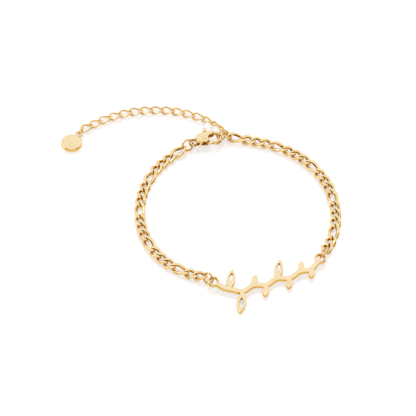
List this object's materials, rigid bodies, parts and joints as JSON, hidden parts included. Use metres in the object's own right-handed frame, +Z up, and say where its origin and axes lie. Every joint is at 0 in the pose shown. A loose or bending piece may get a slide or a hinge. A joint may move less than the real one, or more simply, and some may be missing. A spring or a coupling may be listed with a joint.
{
  "type": "nameplate bracelet",
  "caption": "Gold-coloured figaro chain bracelet with a cut leafy twig plate, a lobster clasp with a hinged lever, and an extender chain ending in a round tag.",
  "frame": {"origin": "middle of the whole bracelet's box in X and Y, on the surface it lies on", "axes": "+X along the long side from the tag's end to the plate's far end, +Y from the plate towards the clasp, +Z up"},
  "size_m": [0.0805, 0.0746, 0.0035],
  "materials": {
    "chain_gold": "polished",
    "plate_gold": "polished",
    "clasp_gold": "polished"
  },
  "bodies": {
    "root": {"clasp_body": "clasp_gold", "clasp_ring": "chain_gold", "clasp_rivet": "clasp_gold", "end_ring": "chain_gold", "extender_chain": "chain_gold", "hook_ring": "chain_gold", "left_link_01": "chain_gold", "left_link_02": "chain_gold", "left_link_03": "chain_gold", "left_link_04": "chain_gold", "left_link_05": "chain_gold", "left_link_06": "chain_gold", "left_link_07": "chain_gold", "left_link_08": "chain_gold", "left_link_09": "chain_gold", "left_link_10": "chain_gold", "left_link_11": "chain_gold", "left_link_12": "chain_gold", "left_link_13": "chain_gold", "left_link_14": "chain_gold", "left_link_15": "chain_gold", "left_link_16": "chain_gold", "left_link_17": "chain_gold", "left_link_18": "chain_gold", "left_link_19": "chain_gold", "nameplate": "plate_gold", "plate_ring_left": "chain_gold", "plate_ring_right": "chain_gold", "right_link_01": "chain_gold", "right_link_02": "chain_gold", "right_link_03": "chain_gold", "right_link_04": "chain_gold", "right_link_05": "chain_gold", "right_link_06": "chain_gold", "right_link_07": "chain_gold", "right_link_08": "chain_gold", "right_link_09": "chain_gold", "right_link_10": "chain_gold", "right_link_11": "chain_gold", "right_link_12": "chain_gold", "right_link_13": "chain_gold", "right_link_14": "chain_gold", "right_link_15": "chain_gold", "right_link_16": "chain_gold", "right_link_17": "chain_gold", "right_link_18": "chain_gold", "right_link_19": "chain_gold", "tag_disc": "plate_gold", "tag_ring": "chain_gold"},
    "lever": {"clasp_lever": "clasp_gold"}
  },
  "joints": [
    {"name": "clasp_lever_pivot", "type": "hinge", "parent": "root", "child": "lever", "pos_m": [0.00148, 0.02403, 0.00185], "axis": [0, 0, 1], "range_deg": [0, 25], "stiffness_Nm_per_rad": 0.003, "springref_deg": -11.46}
  ]
}
